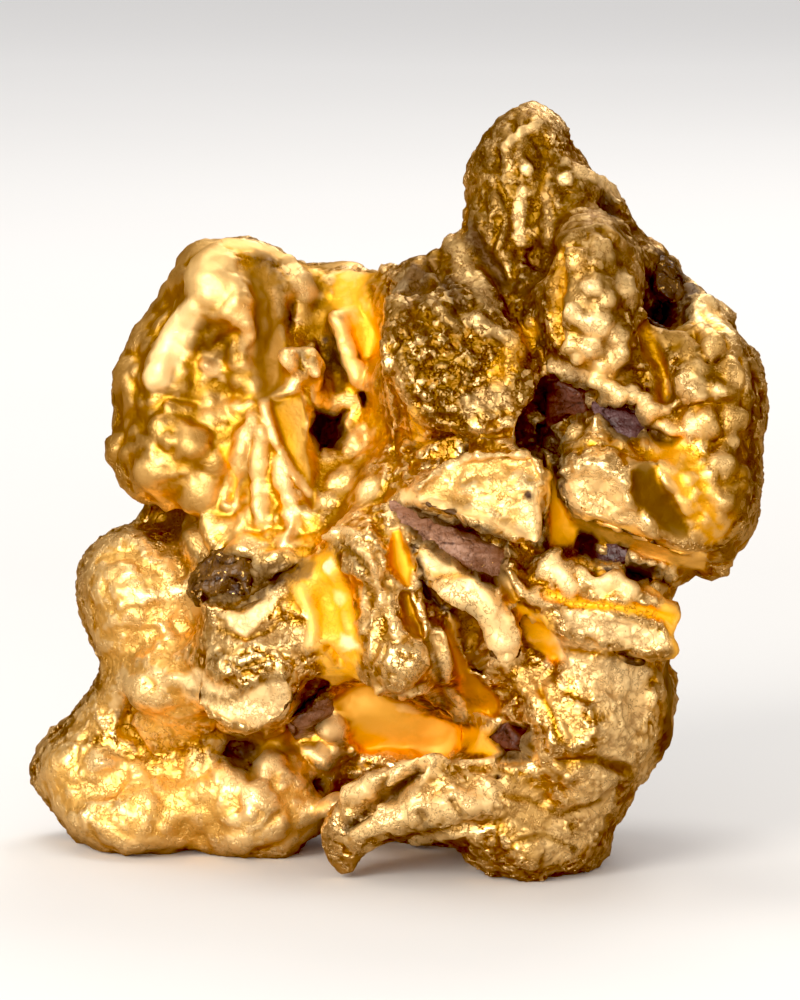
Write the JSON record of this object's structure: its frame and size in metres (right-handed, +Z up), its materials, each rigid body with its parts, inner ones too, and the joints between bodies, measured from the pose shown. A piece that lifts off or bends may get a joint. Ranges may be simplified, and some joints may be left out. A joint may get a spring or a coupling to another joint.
{
  "type": "gold nugget",
  "caption": "Natural gold nugget with a tall peak, rounded lobes, folded crumpled faces and deep hollows, with small stones caught in its crevices.",
  "frame": {"origin": "middle of the nugget's footprint box, in the plane that its feet stand on", "axes": "+Z up towards the peak, the long way; -Y towards the crumpled front with the stones; +Y the thin way, front to back"},
  "size_m": [0.0222, 0.0125, 0.0228],
  "materials": {
    "gold": "native gold, worn bright on the high places and orange in the hollows",
    "rose_quartz": "dull translucent-looking pinkish brown quartz",
    "red_stone": "matt reddish brown",
    "purple_stone": "satin purple brown",
    "ironstone": "rough dark brown"
  },
  "bodies": {
    "root": {"gold_nugget": "gold", "quartz_slab": "rose_quartz", "basin_stone": "rose_quartz", "crevice_stone_left": "red_stone", "pocket_stone": "red_stone", "crevice_stone_right": "purple_stone", "ledge_stone": "purple_stone", "notch_stone": "ironstone", "ridge_ironstone": "ironstone"}
  },
  "joints": []
}
